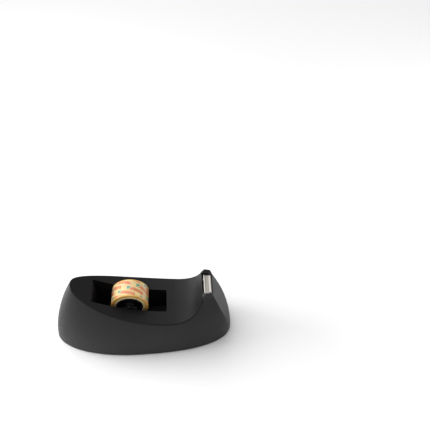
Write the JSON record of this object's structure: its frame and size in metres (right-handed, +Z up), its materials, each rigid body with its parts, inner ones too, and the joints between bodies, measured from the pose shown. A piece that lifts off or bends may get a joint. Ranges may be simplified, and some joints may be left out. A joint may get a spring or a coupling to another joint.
{
  "type": "tape dispenser",
  "caption": "Weighted desk dispenser for a small roll of tape: tapered oval body, saddle-shaped deck with a roll slot and a toothed cutter on a raised nose.",
  "frame": {"origin": "on the table, under the middle of the base", "axes": "+X towards the cutter, +Y to the far side, +Z up"},
  "size_m": [0.1803, 0.0684, 0.0809],
  "materials": {
    "charcoal_plastic": "fine matte charcoal moulding",
    "deck_plastic": "fine matte near-black moulding",
    "inner_plastic": "matte black moulding",
    "hub_plastic": "satin black moulding",
    "stainless": "brushed stainless strip",
    "screw_steel": "zinc-plated steel",
    "axle_steel": "blackened steel",
    "cast_iron": "rough casting",
    "foam": "fine-celled foam",
    "paperboard": "wound paperboard, printed in blocks",
    "clear_tape": "clear film wound in layers over the printed core, golden at its edges"
  },
  "bodies": {
    "housing": {"side_shell": "charcoal_plastic", "top_deck": "deck_plastic", "roll_well": "inner_plastic", "near_axle_cradle": "inner_plastic", "far_axle_cradle": "inner_plastic", "blade_carrier": "inner_plastic", "cutting_blade": "stainless", "blade_screw_near": "screw_steel", "blade_screw_far": "screw_steel", "base_plate": "inner_plastic", "ballast_slab": "cast_iron", "base_screw_1": "screw_steel", "base_screw_2": "screw_steel", "base_screw_3": "screw_steel", "base_screw_4": "screw_steel", "ballast_screw_rear": "screw_steel", "ballast_screw_front": "screw_steel", "non_slip_pad": "foam"},
    "axle": {"axle_pin": "axle_steel", "axle_clip": "screw_steel"},
    "roll": {"hub_drum": "hub_plastic", "hub_cap": "hub_plastic", "tape_core": "paperboard", "tape_winding": "clear_tape"}
  },
  "joints": [
    {"name": "axle_lift", "type": "slide", "parent": "housing", "child": "axle", "axis": [0, 0, 1], "range_m": [0, 0.07]},
    {"name": "roll_spin", "type": "hinge", "parent": "axle", "child": "roll", "pos_m": [-0.00953, 0, 0.0512], "axis": [0, 1, 0], "continuous": true}
  ]
}
